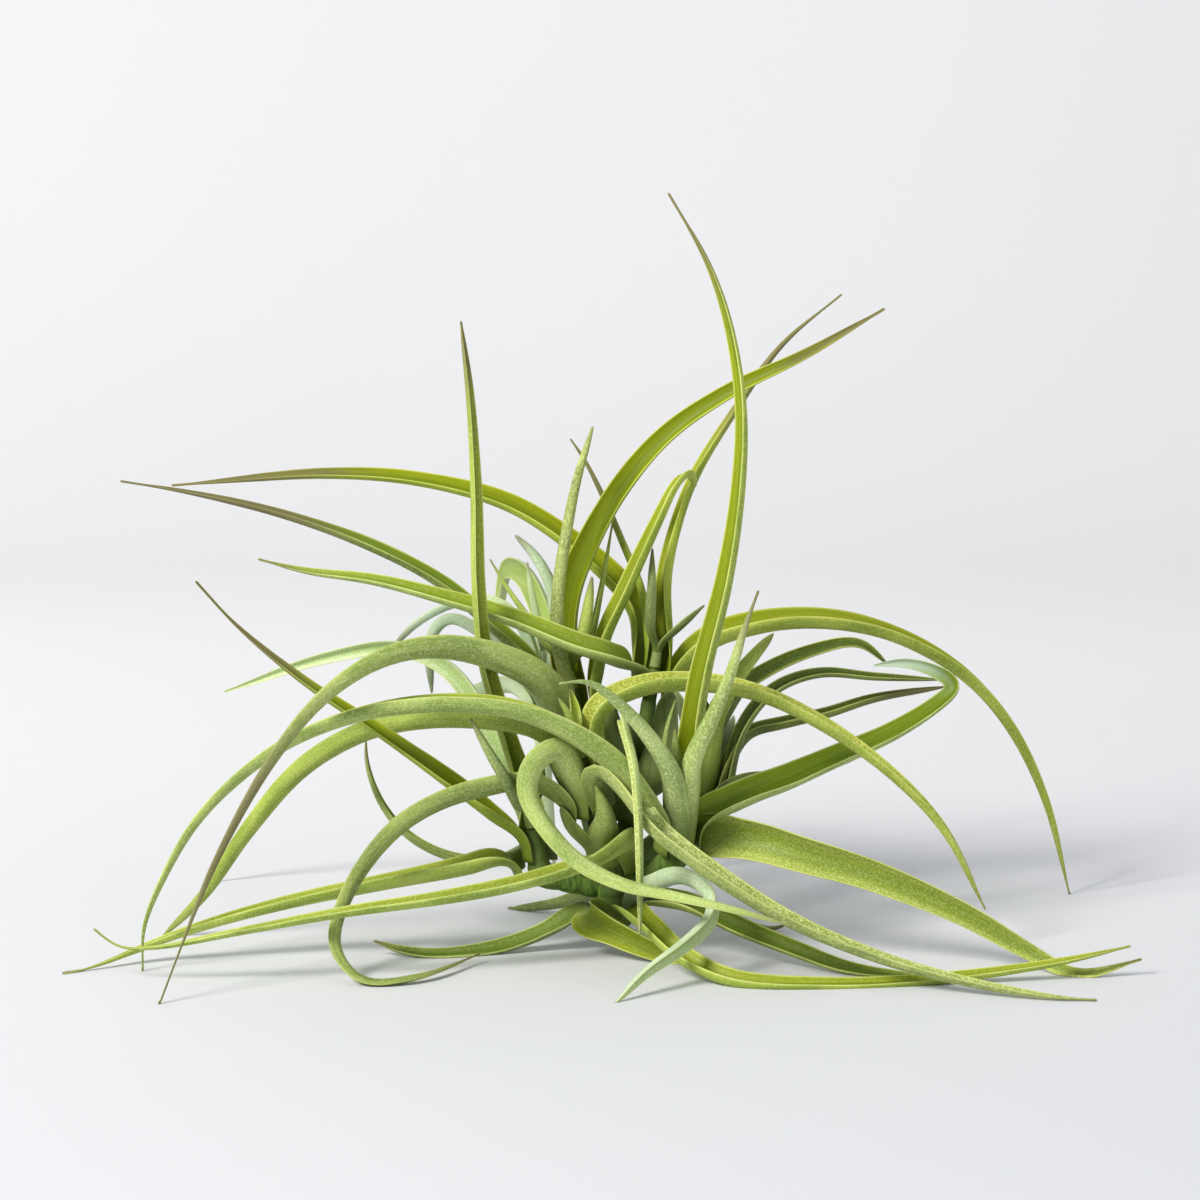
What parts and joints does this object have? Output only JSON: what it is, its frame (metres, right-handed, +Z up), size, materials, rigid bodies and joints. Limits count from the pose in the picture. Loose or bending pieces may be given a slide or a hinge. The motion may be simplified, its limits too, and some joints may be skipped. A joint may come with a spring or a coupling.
{
  "type": "inca gold air plant",
  "caption": "Clump of air plant rosettes on one short branching stem, with long narrow channelled leaves that arch, curl and reach down to the surface it lies on.",
  "frame": {"origin": "middle of the plant's bounding box, at the height of the surface that it rests on", "axes": "+Z up from the surface, +X to the right and +Y away from the viewer of the picture"},
  "size_m": [0.2288, 0.122, 0.1645],
  "materials": {
    "deep": "dark green leaf, slightly satin",
    "fresh": "yellow-green leaf with fine silvery scales on its outer face, matte",
    "grey": "grey-green leaf that turns brown and purple at its tip, matte",
    "pale": "pale whitish green leaf, matte",
    "silvery": "green leaf under a dense coat of silvery scales, matte",
    "woody": "short woody stem under the remains of old sheaths, matte"
  },
  "bodies": {
    "root": {"branching_stem": "woody", "leaf_right_tallest": "fresh", "leaf_right_short": "silvery", "leaf_right_hook": "silvery", "leaf_right_low": "silvery", "leaf_right_curled": "fresh", "leaf_right_arch": "silvery", "leaf_left_low": "fresh", "leaf_left_upright": "fresh", "leaf_left_rising": "fresh", "leaf_left_thin": "grey", "leaf_left_back": "pale", "leaf_front_low": "grey", "leaf_front_right": "fresh", "leaf_front_loop": "silvery", "leaf_front_curl": "grey", "leaf_front_arch": "fresh", "leaf_tall_arch": "silvery", "leaf_tall_left": "fresh", "leaf_tall_right": "fresh", "leaf_tall_folded": "fresh", "leaf_tall_thin": "grey", "leaf_high_left": "fresh", "leaf_high_arch": "fresh", "leaf_high_long": "fresh", "leaf_high_thin": "fresh", "leaf_high_right": "fresh", "leaf_high_hanging": "silvery", "leaf_pale_curled": "pale", "leaf_pale_broad": "pale", "leaf_pale_hooked": "pale", "leaf_pale_upright": "pale", "leaf_pale_floor": "pale", "leaf_pale_left_floor": "pale", "leaf_dark_low": "deep", "leaf_dark_middle": "deep", "leaf_dark_upper": "deep", "leaf_dark_straight": "fresh", "leaf_dark_level": "deep", "leaf_dark_back": "deep", "leaf_dark_back_left": "deep", "leaf_sheath_front": "grey", "leaf_sheath_left": "grey", "leaf_high_inner": "deep", "leaf_high_lower": "deep", "leaf_old_under": "fresh", "leaf_old_left": "fresh", "leaf_old_bent": "pale", "leaf_old_front": "fresh", "leaf_old_dark": "grey", "leaf_old_right": "grey", "leaf_old_low_left": "grey", "leaf_old_back": "grey", "heart_right": "silvery", "heart_left": "grey", "heart_front": "fresh", "heart_tall": "fresh", "heart_high": "deep", "heart_pale": "pale", "heart_dark": "deep"}
  },
  "joints": []
}
